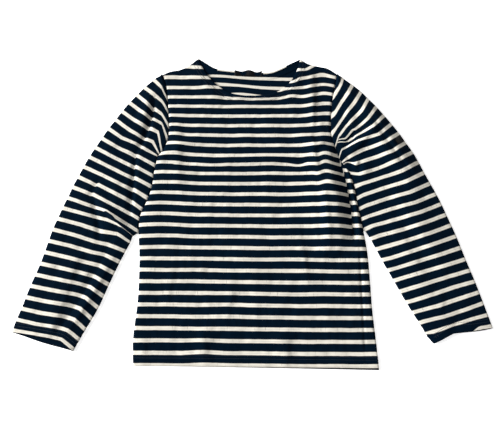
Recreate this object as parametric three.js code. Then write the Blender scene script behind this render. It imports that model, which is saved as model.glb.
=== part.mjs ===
// A long-sleeved breton shirt of cotton jersey, laid flat with its front up.
// Millimetres. +X is to the right as seen from above, +Y towards the neck, +Z up from the surface.
// The wearer's right sleeve therefore lies at -X and the left sleeve at +X.
import * as THREE from 'three';

// Cloth
const WALL = 1.2;
const SEAM = 0.3;
const HEM_TURN = 1.0;
const FRONT_LOFT = 2.2;
const SLEEVE_EDGE = 3.4;
const SLEEVE_LOFT = 1.8;
const BACK_HEM_PEEK = 3.0;
const SIDE_CLEARANCE = 2;
const FLAT_SEAM = 2 * WALL + SEAM;

// Grid of the panels, in intervals
const SIDE_ROWS = 12;
const ARMHOLE_ROWS = 13;
const BODY_ROWS = SIDE_ROWS + ARMHOLE_ROWS;
const SHOULDER_COLUMNS = 4;
const NECK_COLUMNS = { front: 24, back: 14 };
const SLEEVE_ROWS = { arm: 18, cap: ARMHOLE_ROWS };
const UNDERARM = SLEEVE_ROWS.arm / (SLEEVE_ROWS.arm + SLEEVE_ROWS.cap);
const SLEEVE_COLUMNS = 12;
const LOWER_STEP = 3;
const NEAR = 0.001;

// Labels
const LABEL_THICKNESS = 0.6;
const NECK_LABEL = { x: -9, y: 300, width: 62, depth: 13, tilt: -0.16, wave: 0.9 };
const SLEEVE_LABEL = { from: 0.553, to: 0.587, inset: 0.02, reach: 0.13 };

// Outline of the body as it lies, each row one point of a smooth curve. Columns: x, y.
const SIDE_RIGHT = [
  [-233, -330], [-236, -282], [-231, -204], [-232, -128], [-237, -33],
  [-223, 4], [-215, 34], [-212, 66], [-206, 102],
];
const SIDE_LEFT = [
  [246, -335], [244, -291], [240, -224], [239, -165], [237, -107],
  [231, -59], [222, -1], [218, 30], [210, 64], [195, 86],
];
const ARMHOLE_RIGHT = [
  [-206, 102], [-197, 113], [-186, 139], [-184, 176], [-187, 207], [-195, 270], [-204, 297],
];
const ARMHOLE_LEFT = [
  [195, 86], [185, 100], [178, 131], [174, 154], [175, 192], [179, 230], [186, 262], [193, 298],
];
const SHOULDER_RIGHT = [[-204, 297], [-187, 305], [-165, 310], [-147, 319], [-123, 338]];
const SHOULDER_LEFT = [[110, 336], [128, 325], [157, 317], [171, 314], [193, 298]];
const HEM = [[-233, -330], [-102, -331], [92, -333], [246, -335]];
const NECK_FRONT = [
  [-123, 338], [-113, 315], [-97, 290], [-80, 272], [-46, 250.5],
  [14, 245.5], [58, 255.5], [86, 279], [103, 311], [110, 336],
];
const NECK_BACK = [
  [-123, 338], [-102, 323], [-85, 313], [-48, 307], [-5, 304],
  [25, 302], [46, 305], [65, 313], [84, 323], [110, 336],
];

// Outline of the sleeves from cuff to shoulder, and of the cuffs. Columns: x, y.
const OUTER_RIGHT = [
  [-477, -268], [-459, -204], [-434, -124], [-411, -40], [-378, 48],
  [-331, 139], [-269, 235], [-214, 287], [-207, 294],
];
const INNER_RIGHT = [
  [-353, -303], [-328, -263], [-298, -204], [-278, -144], [-261, -103],
  [-246, -74], [-240, -44],
];
const CUFF_RIGHT = [[-477, -268], [-420, -276], [-382, -284], [-353, -303]];
const OUTER_LEFT = [
  [477, -259], [457, -185], [420, -61], [387, 26], [346, 116],
  [317, 163], [282, 211], [245, 255], [199, 292], [196, 295],
];
const INNER_LEFT = [
  [347, -276], [316, -224], [287, -165], [266, -124], [244, -82], [234, -59],
];
const CUFF_LEFT = [[477, -259], [442, -263], [408, -270], [386, -274], [360, -285], [347, -276]];

// Folds. Columns: start x, start y, end x, end y, bow of the line to its left, height (a trough is
// negative), and the spread to the left and to the right of the line, seen from above.
const FRONT_FOLDS = [
  [162, 134, 186, -120, 4, 6.0, 14, 34],
  [136, 318, 131, 156, 0, 4.0, 13, 13],
  [-164, 176, -158, 6, 0, 3.0, 13, 13],
  [-120, 94, 150, 92, 3, 3.0, 12, 12],
  [186, 102, 96, 156, 4, 3.5, 12, 12],
  [-198, 110, -110, 146, -4, 3.0, 13, 13],
  [-215, -336, -219, -256, 0, 3.0, 11, 11],
  [-93, -336, -98, -256, 0, 3.0, 13, 13],
  [64, -339, 58, -264, 0, 2.5, 16, 16],
  [-150, 306, -66, 216, 8, 2.5, 12, 12],
  [120, 312, 84, 220, -8, 2.5, 12, 12],
  [-60, -54, 40, -244, 10, 2.0, 24, 24],
];
const SLEEVE_RIGHT_FOLDS = [
  [-330, 2, -246, -80, 0, 6.5, 14, 5],
  [-273, -70, -378, -286, 10, 5.0, 12, 24],
  [-234, 268, -270, 134, 10, 4.5, 16, 16],
  [-212, 242, -250, 106, 8, -3.0, 6, 6],
  [-343, 16, -316, -89, 0, -2.5, 9, 9],
  [-255, 104, -258, -53, 0, -2.0, 8, 8],
  [-396, -14, -450, -224, 0, 3.0, 22, 22],
];
const SLEEVE_LEFT_FOLDS = [
  [196, 98, 274, 174, -4, 7.0, 10, 8],
  [236, 226, 356, 10, -10, 6.5, 40, 14],
  [300, 40, 400, -150, -6, 5.0, 40, 16],
  [222, 26, 256, 102, 0, 3.0, 12, 12],
  [300, -34, 372, -252, -6, 4.0, 20, 24],
  [214, 242, 232, 136, -6, 3.5, 12, 12],
];

const flatPoint = ([x, y]) => new THREE.Vector3(x, y, 0);

// A smooth curve through a table's points, read by its share of length from 0 to 1.
function edge(points) {
  const curve = new THREE.CatmullRomCurve3(points.map(flatPoint), false, 'centripetal');
  curve.arcLengthDivisions = 400;
  return (share) => curve.getPointAt(THREE.MathUtils.clamp(share, 0, 1));
}

// Edges joined end to end, each given its own part of the whole from 0 to 1.
function chain(...pieces) {
  const whole = pieces.reduce((sum, [, part]) => sum + part, 0);
  return (share) => {
    let rest = share * whole;
    for (const [piece, part] of pieces.slice(0, -1)) {
      if (rest <= part) return piece(rest / part);
      rest -= part;
    }
    const [last, lastPart] = pieces.at(-1);
    return last(rest / lastPart);
  };
}

// An edge moved sideways by a distance, to its left as it runs.
function beside(line, distance) {
  const step = 0.002;
  return (share) => {
    const ahead = line(Math.min(share + step, 1));
    const along = ahead.sub(line(Math.max(share - step, 0))).normalize();
    return line(share).add(new THREE.Vector3(-along.y, along.x, 0).multiplyScalar(distance));
  };
}

// The flat surface spanned by four edges that meet at its corners.
function patch(low, high, start, end) {
  const lowLine = new THREE.LineCurve3(low(0), low(1));
  const highLine = new THREE.LineCurve3(high(0), high(1));
  return (u, v) => {
    const across = low(u).lerp(high(u), v);
    const along = start(v).lerp(end(v), u);
    const corners = lowLine.getPoint(u).lerp(highLine.getPoint(u), v);
    return across.add(along).sub(corners);
  };
}

// Height that a table of folds adds at a point.
function relief(folds, x, y) {
  let height = 0;
  for (const [startX, startY, endX, endY, bow, rise, leftSpread, rightSpread] of folds) {
    const length = Math.hypot(endX - startX, endY - startY);
    const dirX = (endX - startX) / length;
    const dirY = (endY - startY) / length;
    const along = ((x - startX) * dirX + (y - startY) * dirY) / length;
    if (along <= 0 || along >= 1) continue;
    const aside = (y - startY) * dirX - (x - startX) * dirY - 4 * bow * along * (1 - along);
    const spread = aside > 0 ? leftSpread : rightSpread;
    height += rise * Math.sin(Math.PI * along) ** 0.7 * Math.exp(-((aside / spread) ** 2));
  }
  return height;
}

// Loft that is nothing at the edges of a panel and fades in quickly.
const swell = (share) => Math.sqrt(Math.max(Math.sin(Math.PI * share), 0));

// A closed body from its points and four-cornered faces, turned so that its faces point out.
function body(points, quads) {
  const triangles = quads.flatMap(([a, b, c, d]) => [[a, b, c], [a, c, d]]);
  const volume = triangles.reduce((sum, [a, b, c]) => {
    return sum + points[a].dot(new THREE.Vector3().crossVectors(points[b], points[c]));
  }, 0);
  const ordered = volume > 0 ? triangles : triangles.map(([a, b, c]) => [a, c, b]);
  const geometry = new THREE.BufferGeometry().setFromPoints(points);
  geometry.setIndex(ordered.flat());
  geometry.computeVertexNormals();
  return geometry;
}

// A panel of cloth: at(u, v) gives the flat point and the heights of its two faces there.
function panel(columns, rows, at) {
  const points = [];
  for (const face of ['top', 'bottom']) {
    for (let row = 0; row <= rows; row += 1) {
      for (let column = 0; column <= columns; column += 1) {
        const place = at(column / columns, row / rows);
        points.push(new THREE.Vector3(place.point.x, place.point.y, place[face]));
      }
    }
  }
  const layer = (columns + 1) * (rows + 1);
  const id = (row, column) => row * (columns + 1) + column;
  const quads = [];
  for (let row = 0; row < rows; row += 1) {
    for (let column = 0; column < columns; column += 1) {
      const [a, b] = [id(row, column), id(row, column + 1)];
      const [c, d] = [id(row + 1, column + 1), id(row + 1, column)];
      quads.push([a, b, c, d]);
      quads.push([a + layer, d + layer, c + layer, b + layer]);
    }
  }
  const rim = [];
  for (let column = 0; column < columns; column += 1) rim.push(id(0, column));
  for (let row = 0; row < rows; row += 1) rim.push(id(row, columns));
  for (let column = columns; column > 0; column -= 1) rim.push(id(rows, column));
  for (let row = rows; row > 0; row -= 1) rim.push(id(row, 0));
  rim.forEach((corner, place) => {
    const next = rim[(place + 1) % rim.length];
    quads.push([corner + layer, next + layer, next, corner]);
  });
  return body(points, quads);
}

// A sleeve from its rows, each a strip of points over the outer fold, in an outer and an inner
// layer. Rows up to the underarm also hold the points that close their inner seam.
function sleeveWall(rows, underarm) {
  const points = [];
  const ids = rows.map(({ strip, seam }) => [...strip, ...seam].map(({ outer, inner }) => {
    points.push(outer, inner);
    return points.length - 2;
  }));
  const stripSteps = rows[0].strip.length - 1;
  const ringSteps = ids[0].length;
  const last = rows.length - 1;
  const quads = [];
  const outerAt = (row, place) => ids[row][place % ringSteps];
  const innerAt = (row, place) => outerAt(row, place) + 1;
  for (let row = 0; row < last; row += 1) {
    const steps = row < underarm ? ringSteps : stripSteps;
    for (let place = 0; place < steps; place += 1) {
      quads.push([
        outerAt(row, place), outerAt(row, place + 1),
        outerAt(row + 1, place + 1), outerAt(row + 1, place),
      ]);
      quads.push([
        innerAt(row, place), innerAt(row + 1, place),
        innerAt(row + 1, place + 1), innerAt(row, place + 1),
      ]);
    }
  }
  const rim = ([row, place], [nextRow, nextPlace]) => quads.push([
    outerAt(row, place), outerAt(nextRow, nextPlace),
    innerAt(nextRow, nextPlace), innerAt(row, place),
  ]);
  for (let place = 0; place < ringSteps; place += 1) rim([0, place + 1], [0, place]);
  for (let place = 0; place < stripSteps; place += 1) rim([last, place], [last, place + 1]);
  for (let place = stripSteps; place < ringSteps; place += 1) {
    rim([underarm, place], [underarm, place + 1]);
  }
  for (let row = underarm; row < last; row += 1) {
    rim([row, 0], [row + 1, 0]);
    rim([row + 1, stripSteps], [row, stripSteps]);
  }
  return body(points, quads);
}

// Edges of the body, all from hem to neck or from the right to the left of the wearer.
const sideRight = edge(SIDE_RIGHT);
const sideLeft = edge(SIDE_LEFT);
const armholeRight = edge(ARMHOLE_RIGHT);
const armholeLeft = edge(ARMHOLE_LEFT);

function bodyPatch(neck, name) {
  const top = chain(
    [edge(SHOULDER_RIGHT), SHOULDER_COLUMNS],
    [edge(neck), NECK_COLUMNS[name]],
    [edge(SHOULDER_LEFT), SHOULDER_COLUMNS],
  );
  return patch(
    edge(HEM),
    top,
    chain([sideRight, SIDE_ROWS], [armholeRight, ARMHOLE_ROWS]),
    chain([sideLeft, SIDE_ROWS], [armholeLeft, ARMHOLE_ROWS]),
  );
}

// Extra thickness of the turned hem at the very edge of the hem and of the neck.
function turned(u, v, name) {
  const columns = NECK_COLUMNS[name] + 2 * SHOULDER_COLUMNS;
  const shoulder = (SHOULDER_COLUMNS - 0.5) / columns;
  const onNeck = v > 1 - NEAR && u > shoulder && u < 1 - shoulder;
  return v < NEAR || onNeck ? HEM_TURN : 0;
}

function backPanel() {
  const flat = bodyPatch(NECK_BACK, 'back');
  return panel(NECK_COLUMNS.back + 2 * SHOULDER_COLUMNS, BODY_ROWS, (u, v) => {
    const point = flat(u, v);
    point.y -= BACK_HEM_PEEK * u * (1 - v) ** 12;
    return { point, bottom: 0, top: WALL + turned(u, v, 'back') };
  });
}

function frontPanel() {
  const flat = bodyPatch(NECK_FRONT, 'front');
  const columns = NECK_COLUMNS.front + 2 * SHOULDER_COLUMNS;
  return panel(columns, BODY_ROWS, (u, v) => {
    const point = flat(u, v);
    const hem = turned(u, v, 'front');
    const inside = swell(u) * (v < 0.5 ? 1 : swell(v));
    const loft = inside * (FRONT_LOFT * swell(v) + relief(FRONT_FOLDS, point.x, point.y));
    const bottom = WALL + SEAM + hem + Math.max(loft, 0);
    return { point, bottom, top: bottom + WALL + hem };
  });
}

// A line read faster or slower, so that its given share falls where the underarm row is.
const paced = (line, share) => (v) => {
  const whole = v < UNDERARM ? (v / UNDERARM) * share : 1 - ((1 - v) / (1 - UNDERARM)) * (1 - share);
  return line(whole);
};

// The flat sleeve: u runs from its outer fold inwards, v from the cuff to the shoulder.
function sleevePatch(outline) {
  const armhole = beside(outline.armhole, SEAM * outline.side);
  const [underarm, shoulder] = [armhole(0), armhole(1)];
  const innerPoints = [...outline.inner];
  for (const share of outline.shared) {
    const point = outline.flank(share);
    innerPoints.push([point.x - outline.side * SIDE_CLEARANCE, point.y]);
  }
  innerPoints.push([underarm.x, underarm.y]);
  const outer = edge(outline.outer);
  return patch(
    edge(outline.cuff),
    (u) => outer(1).lerp(shoulder, u),
    paced(outer, outline.underarmShare),
    chain([edge(innerPoints), SLEEVE_ROWS.arm], [armhole, SLEEVE_ROWS.cap]),
  );
}

// Height of a sleeve's upper face: its own at the fold, that of the front at the armhole.
function sleeveTop(u, v, point, folds) {
  const seamHeight = v > UNDERARM ? FLAT_SEAM : SLEEVE_EDGE;
  const flat = THREE.MathUtils.lerp(SLEEVE_EDGE, seamHeight, u);
  const loft = swell(u) * (SLEEVE_LOFT + relief(folds, point.x, point.y));
  return Math.max(flat + loft, FLAT_SEAM);
}

// Points round a folded edge at the given angles, on the outer and the inner face of the cloth.
function roundedEdge(tip, towards, angles) {
  const radius = SLEEVE_EDGE / 2;
  const inward = towards.clone().sub(tip).normalize();
  const centre = tip.clone().addScaledVector(inward, radius);
  return angles.map((angle) => {
    const turn = THREE.MathUtils.degToRad(angle);
    const [outer, inner] = [radius, radius - WALL].map((size) => {
      const point = centre.clone().addScaledVector(inward, -size * Math.cos(turn));
      return point.setZ(radius + size * Math.sin(turn));
    });
    return { outer, inner };
  });
}

function sleeveRow(flat, v, folds) {
  const across = Array.from({ length: SLEEVE_COLUMNS + 1 }, (_, place) => {
    return flat(place / SLEEVE_COLUMNS, v);
  });
  const hem = v < NEAR ? HEM_TURN : 0;
  const upper = (place) => {
    const point = across[place];
    const height = sleeveTop(place / SLEEVE_COLUMNS, v, point, folds);
    return { outer: point.clone().setZ(height + hem), inner: point.clone().setZ(height - WALL) };
  };
  const lower = (place) => {
    const point = across[place];
    return { outer: point.clone().setZ(0), inner: point.clone().setZ(WALL) };
  };
  const [outerTip, innerTip] = [across[0], across.at(-1)];
  const closed = v < UNDERARM + NEAR;
  const seamEdge = (angles) => roundedEdge(innerTip, across.at(-2), angles);
  const top = [];
  for (let place = SLEEVE_COLUMNS - 1; place > 0; place -= 1) top.push(upper(place));
  const bottom = [];
  for (let place = LOWER_STEP; place < SLEEVE_COLUMNS; place += LOWER_STEP) {
    bottom.push(lower(place));
  }
  const strip = [
    ...(closed ? seamEdge([90]) : [upper(SLEEVE_COLUMNS)]),
    ...top,
    ...roundedEdge(outerTip, across[1], [90, 45, 0, -45, -90]),
    ...bottom,
    ...(closed ? seamEdge([-90]) : [lower(SLEEVE_COLUMNS)]),
  ];
  return { strip, seam: closed ? seamEdge([-45, 0, 45]) : [] };
}

function sleeve(flat, folds) {
  const count = SLEEVE_ROWS.arm + SLEEVE_ROWS.cap;
  const rows = Array.from({ length: count + 1 }, (_, row) => sleeveRow(flat, row / count, folds));
  return sleeveWall(rows, SLEEVE_ROWS.arm);
}

const sleeveRightFlat = sleevePatch({
  side: 1, armhole: armholeRight, flank: sideRight, shared: [0.78, 0.86, 0.93, 0.98],
  outer: OUTER_RIGHT, inner: INNER_RIGHT, cuff: CUFF_RIGHT, underarmShare: 0.72,
});
const sleeveLeftFlat = sleevePatch({
  side: -1, armhole: armholeLeft, flank: sideLeft, shared: [0.76, 0.84, 0.92, 0.98],
  outer: OUTER_LEFT, inner: INNER_LEFT, cuff: CUFF_LEFT, underarmShare: 0.7,
});

// The label lies inside the back, just below the neck hem, and waves a little.
function neckLabel() {
  const bottom = WALL + SEAM + HEM_TURN;
  return panel(12, 2, (u, v) => {
    const x = NECK_LABEL.x + (u - 0.5) * NECK_LABEL.width;
    const slope = NECK_LABEL.tilt * (u - 0.5) * NECK_LABEL.depth;
    const y = NECK_LABEL.y + (v - 0.5) * NECK_LABEL.depth + slope;
    const wave = NECK_LABEL.wave * (1 - Math.cos(4 * Math.PI * u)) / 2;
    return {
      point: flatPoint([x, y]),
      bottom: bottom + wave,
      top: bottom + wave + LABEL_THICKNESS,
    };
  });
}

// The small label is sewn over the outer fold of the sleeve, made from the sleeve's own points.
function sleeveLabel() {
  const { from, to, inset, reach } = SLEEVE_LABEL;
  return panel(4, 4, (u, v) => {
    const across = reach + (inset - reach) * u;
    const along = from + (to - from) * v;
    const point = sleeveLeftFlat(across, along);
    const bottom = sleeveTop(across, along, point, SLEEVE_LEFT_FOLDS) + SEAM;
    return { point, bottom, top: bottom + LABEL_THICKNESS };
  });
}

const jersey = new THREE.MeshStandardMaterial({ color: 0x16222e, roughness: 0.95, metalness: 0 });
const woven = new THREE.MeshStandardMaterial({ color: 0x15171a, roughness: 0.7, metalness: 0 });

const shirt = new THREE.Group();
const pieces = [
  ['back', backPanel(), jersey],
  ['front', frontPanel(), jersey],
  ['sleeve_right', sleeve(sleeveRightFlat, SLEEVE_RIGHT_FOLDS), jersey],
  ['sleeve_left', sleeve(sleeveLeftFlat, SLEEVE_LEFT_FOLDS), jersey],
  ['neck_label', neckLabel(), woven],
  ['sleeve_label', sleeveLabel(), woven],
];
for (const [name, geometry, material] of pieces) {
  const mesh = new THREE.Mesh(geometry, material);
  mesh.name = name;
  shirt.add(mesh);
}

export default shirt;
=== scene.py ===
# A long-sleeved breton shirt of striped cotton jersey, laid flat with its front up.
# Metres. +X is to the right as seen from above, +Y towards the neck, +Z up from the surface.
import math

import bmesh
import bpy
import numpy as np
from mathutils import Matrix, Vector, noise
from mathutils.bvhtree import BVHTree


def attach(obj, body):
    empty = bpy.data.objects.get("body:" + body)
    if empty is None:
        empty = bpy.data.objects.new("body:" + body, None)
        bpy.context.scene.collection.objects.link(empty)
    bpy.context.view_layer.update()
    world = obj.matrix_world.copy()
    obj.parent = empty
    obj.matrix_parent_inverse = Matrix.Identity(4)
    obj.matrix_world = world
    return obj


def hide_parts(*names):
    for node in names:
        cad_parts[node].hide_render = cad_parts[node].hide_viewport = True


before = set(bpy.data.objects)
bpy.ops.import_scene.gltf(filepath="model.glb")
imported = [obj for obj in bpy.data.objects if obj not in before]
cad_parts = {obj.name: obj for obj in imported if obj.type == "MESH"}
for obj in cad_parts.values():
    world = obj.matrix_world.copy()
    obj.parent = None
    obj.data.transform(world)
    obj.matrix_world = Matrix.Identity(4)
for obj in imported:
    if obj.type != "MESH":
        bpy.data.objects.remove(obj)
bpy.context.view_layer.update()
MM = 0.001


# Surface, light and camera
# The shirt lies on a plain white table top that glows softly. A wide lamp stands low at the side of its
# right sleeve, a weaker one hangs overhead. The camera looks down from a little to the hem's side.
TABLE_SIZE = 8.0
TABLE_GAP = 0.4 * MM
CAMERA_TILT = math.radians(13.2)
CAMERA_DISTANCE = 0.930
CAMERA_AIM = Vector((-0.005, -0.021, 0.0))
CAMERA_LENS = 31.7

table_mesh = bmesh.new()
bmesh.ops.create_grid(table_mesh, x_segments=2, y_segments=2, size=TABLE_SIZE / 2)
bmesh.ops.translate(table_mesh, verts=table_mesh.verts, vec=(0, 0, -TABLE_GAP))
table_data = bpy.data.meshes.new("table_top")
table_mesh.to_mesh(table_data)
table_mesh.free()
table = bpy.data.objects.new("table_top", table_data)
bpy.context.scene.collection.objects.link(table)

table_paint = bpy.data.materials.new("white table top")
table_paint.use_nodes = True
table_shader = table_paint.node_tree.nodes["Principled BSDF"]
table_shader.inputs["Base Color"].default_value = (0.97, 0.97, 0.97, 1)
table_shader.inputs["Roughness"].default_value = 0.9
table_shader.inputs["Specular IOR Level"].default_value = 0.1
table_shader.inputs["Emission Color"].default_value = (1, 1, 1, 1)
table_shader.inputs["Emission Strength"].default_value = 0.60
table_data.materials.append(table_paint)

world = bpy.data.worlds.new("pale room")
world.use_nodes = True
world.node_tree.nodes["Background"].inputs["Color"].default_value = (1, 1, 1, 1)
world.node_tree.nodes["Background"].inputs["Strength"].default_value = 0.15
bpy.context.scene.world = world

# Columns: name, place, aim, width, height, power in watts
SOFT_LIGHTS = [
    ("side_light", (-9.9, 2.4, 3.9), (0, 0, 0), 4.35, 4.35, 3520),
    ("overhead_light", (1.6, -0.5, 3.2), (0, 0, 0), 2.4, 2.4, 30),
]
for name, place, aim, width, height, power in SOFT_LIGHTS:
    lamp = bpy.data.lights.new(name, "AREA")
    lamp.shape = "RECTANGLE"
    lamp.size = width
    lamp.size_y = height
    lamp.energy = power
    light = bpy.data.objects.new(name, lamp)
    light.location = place
    light.rotation_euler = (Vector(aim) - Vector(place)).to_track_quat("-Z", "Y").to_euler()
    bpy.context.scene.collection.objects.link(light)

camera_data = bpy.data.cameras.new("camera")
camera_data.lens = CAMERA_LENS
camera_data.sensor_width = 36
camera = bpy.data.objects.new("camera", camera_data)
toward_hem = Vector((0, -math.sin(CAMERA_TILT), math.cos(CAMERA_TILT)))
camera.location = CAMERA_AIM + CAMERA_DISTANCE * toward_hem
camera.rotation_euler = (CAMERA_TILT, 0, 0)
bpy.context.scene.collection.objects.link(camera)
bpy.context.scene.camera = camera
bpy.context.scene.view_settings.view_transform = "Standard"


# Back panel
# One piece of cotton jersey, ecru stripes knitted into navy, lying face down on the table. It is sewn
# to the front at the shoulders and sides. Its neck and hem are turned in and sewn with a twin needle,
# and its inside shows in the neck of the front.
CLOTH = 1.1 * MM
TURNED = 2.1 * MM
STRIPE_PERIOD = 23 * MM
STRIPE_WIDTH = 7.3 * MM
NECK_BAND = 16 * MM
HEM_BAND = 20 * MM
BAND_END = 2 * MM
BACK_GRID = (120, 170)
BACK_CREASE_DEPTH = 0.5
SEAM_LIFT = 0.6 * MM
SEAM_LIFT_PART = 0.006
NECK_LIFT = 1.6 * MM
NECK_LIFT_WIDTH = 7 * MM

# The hem comes out a little from under the front's at the left. The band is in shares of the length.
BACK_HEM_SHOWS = 3 * MM
BACK_HEM_BAND = (0.028, 0.031)

# Stripes are counted from the hem. A crease across the chest takes up a little cloth between them.
TOP_STRIPE = 28
TOP_STRIPE_LEVEL = 310 * MM
CHEST_CREASE = 4.5 * MM
CHEST_CREASE_LEVELS = (84.5 * MM, 103 * MM)

# The back's neck is plain navy beside its rim. Where the turned edge happens to end in a stripe, the
# rim itself is ecru. Columns: from x, to x, in millimetres.
PLAIN_RIM = 30 * MM
RIM_STRIPE = 2.8 * MM
ECRU_RIM = [(-80, -36), (24, 78)]

# Unevenness of a stripe's course. Columns: size, depth, seed.
STRIPE_WANDER = (75 * MM, 1.2 * MM, 3.7)

# Rows of a grid lie closer where the cloth is turned. Rows: share of the grid, share of the panel.
BACK_ROWS = ([0, 0.1, 0.88, 1], [0, 0.04, 0.96, 1])

# Outline of the body as it lies, in millimetres. Columns: x, y.
SIDE_RIGHT = [
    (-233, -330), (-236, -282), (-231, -204), (-232, -128), (-237, -33),
    (-223, 4), (-215, 34), (-212, 66), (-206, 102),
]
SIDE_LEFT = [
    (246, -335), (244, -291), (240, -224), (239, -165), (237, -107),
    (231, -59), (222, -1), (218, 30), (210, 64), (195, 86),
]
ARMHOLE_RIGHT = [
    (-206, 102), (-197, 113), (-186, 139), (-184, 176), (-187, 207), (-195, 270), (-204, 297),
]
ARMHOLE_LEFT = [
    (195, 86), (185, 100), (178, 131), (174, 154), (175, 192), (179, 230), (186, 262), (193, 298),
]
SHOULDER_RIGHT = [(-204, 297), (-187, 305), (-165, 310), (-147, 319), (-123, 338)]
SHOULDER_LEFT = [(110, 336), (128, 325), (157, 317), (171, 314), (193, 298)]
HEM = [(-233, -330), (-102, -331), (92, -333), (246, -335)]
NECK_BACK = [
    (-123, 338), (-102, 323), (-85, 313), (-48, 307), (-5, 304),
    (25, 302), (46, 305), (65, 313), (84, 323), (110, 336),
]

# How a panel's top is shared out between shoulders and neck, and its sides' part of the length.
SHOULDER_COLUMNS = 25
NECK_COLUMNS = 110
SIDE_PART = 0.68

# Shallow hollows that press through to the underside, in millimetres. Columns: start x, start y,
# end x, end y, bow of the line to its left, height, and the spread to the left and to the right.
BACK_FOLDS = [
    (-190, 90, -120, 20, 6, 1.0, 9, 16),
    (176, 60, 60, -30, -10, 0.9, 12, 18),
    (-150, -40, -60, -190, 8, 0.8, 14, 22),
    (120, -90, 30, -260, -12, 0.8, 16, 22),
    (-60, 230, 60, 180, 6, 0.7, 16, 16),
    (-210, -200, -120, -320, 4, 0.7, 12, 16),
    (200, -180, 190, -320, -4, 0.8, 10, 16),
    (-20, 60, 110, 90, 8, 0.7, 14, 18),
]

# Places where the stripes lie off their straight course, in millimetres. Columns: x, y, spread x,
# spread y, shift towards the neck.
BACK_PULLS = [
    (-105, 280, 75, 28, 11),
    (-30, 258, 40, 22, 5),
    (-14, 243, 44, 14, 4),
]

# A fold rises and ends quickly. A tuck is strongest past its start and dies out to its end.
FOLD_ENDS = 0.7
TUCK_START = 0.12
TUCK_FADE = 0.8


def curve_between(start, end, leave, arrive, t):
    """The cubic from start to end with its direction at both ends."""
    return (
        start * (1 - 3 * t**2 + 2 * t**3) + end * (3 * t**2 - 2 * t**3)
        + leave * (t - 2 * t**2 + t**3) + arrive * (t**3 - t**2)
    )


def smooth_line(points):
    """A smooth curve through a table of points, read by its share of length."""
    knots = np.array(points, float) * MM
    knots = np.vstack([2 * knots[0] - knots[1], knots, 2 * knots[-1] - knots[-2]])
    step = np.linspace(0, 1, 40, endpoint=False)[:, None]
    dense = []
    for before, start, end, after in zip(knots, knots[1:], knots[2:], knots[3:]):
        neighbours = ((before, start), (start, end), (end, after))
        spans = [np.linalg.norm(b - a) ** 0.5 for a, b in neighbours]
        leave = (start - before) / spans[0] - (end - before) / (spans[0] + spans[1])
        leave = (leave + (end - start) / spans[1]) * spans[1]
        arrive = (after - end) / spans[2] - (after - start) / (spans[1] + spans[2])
        arrive = (arrive + (end - start) / spans[1]) * spans[1]
        dense.append(curve_between(start, end, leave, arrive, step))
    dense = np.vstack([*dense, knots[-2]])
    length = np.concatenate([[0], np.cumsum(np.linalg.norm(np.diff(dense, axis=0), axis=1))])
    length /= length[-1]
    return lambda share: np.column_stack([np.interp(share, length, dense[:, i]) for i in (0, 1)])


def joined(*pieces):
    """Lines end to end, each with its own part of the whole."""
    ends = np.cumsum([0] + [part for line, part in pieces]) / sum(part for line, part in pieces)

    def read(share):
        points = np.zeros((len(share), 2))
        for (line, part), start, end in zip(pieces, ends, ends[1:]):
            here = (share >= start) & (share <= end)
            points[here] = line((share[here] - start) / (end - start))
        return points

    return read


def spanned(low, high, start, end):
    """The flat surface between four lines that meet at its corners."""
    ends = np.array([0.0, 1.0])
    low_ends, high_ends = low(ends), high(ends)

    def read(u, v):
        u_column, v_column = u[:, None], v[:, None]
        across = low(u) * (1 - v_column) + high(u) * v_column
        along = start(v) * (1 - u_column) + end(v) * u_column
        corners = (low_ends[0] * (1 - u_column) + low_ends[1] * u_column) * (1 - v_column)
        corners += (high_ends[0] * (1 - u_column) + high_ends[1] * u_column) * v_column
        return across + along - corners

    return read


def distance_to(line, points):
    """Distance of each point from a line."""
    samples = line(np.linspace(0, 1, 500))
    nearest = np.full(len(points), np.inf)
    for sample in samples:
        np.minimum(nearest, ((points - sample) ** 2).sum(axis=1), out=nearest)
    return np.sqrt(nearest)


def fade(value, start, end):
    """0 below start, 1 past end, and smooth between."""
    share = np.clip((value - start) / (end - start), 0, 1)
    return share * share * (3 - 2 * share)


def band(distance, width):
    """1 on a turned band along an edge, and 0 past it."""
    return 1 - fade(distance, width, width + BAND_END)


def beside_bow(start_x, start_y, end_x, end_y, bow, x, y):
    """Share along a bowed line, and millimetres to its left, at each point."""
    length = math.hypot(end_x - start_x, end_y - start_y)
    dir_x, dir_y = (end_x - start_x) / length, (end_y - start_y) / length
    run_x, run_y = x / MM - start_x, y / MM - start_y
    along = np.clip((run_x * dir_x + run_y * dir_y) / length, 0, 1)
    return along, run_y * dir_x - run_x * dir_y - 4 * bow * along * (1 - along)


def relief(folds, x, y):
    """Height of a table of folds at each point."""
    height = np.zeros(len(x))
    for *line, rise, left_spread, right_spread in folds:
        along, aside = beside_bow(*line, x, y)
        spread = np.where(aside > 0, left_spread, right_spread)
        height += rise * np.sin(np.pi * along) ** FOLD_ENDS * np.exp(-((aside / spread) ** 2))
    return height * MM


def slipped(tucks, x, y):
    """How far tucks of the cloth move its stripes at each point, strongest near a tuck's start."""
    shift = np.zeros(len(x))
    for *line, soft, left, left_reach, right, right_reach in tucks:
        along, aside = beside_bow(*line, x, y)
        to_left = fade(aside, -soft, soft)
        amount = to_left * left * np.exp(-np.clip(aside, 0, None) / left_reach)
        amount += (1 - to_left) * right * np.exp(-np.clip(-aside, 0, None) / right_reach)
        shift += fade(along, 0, TUCK_START) * (1 - along) ** TUCK_FADE * amount
    return shift * MM


def rumple(x, y, size, depth, seed):
    """Slight unevenness of soft cloth at each point."""
    points = np.column_stack([x, y]) / size
    return depth * np.array([noise.noise(Vector((a, b, seed))) for a, b in points])


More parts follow.
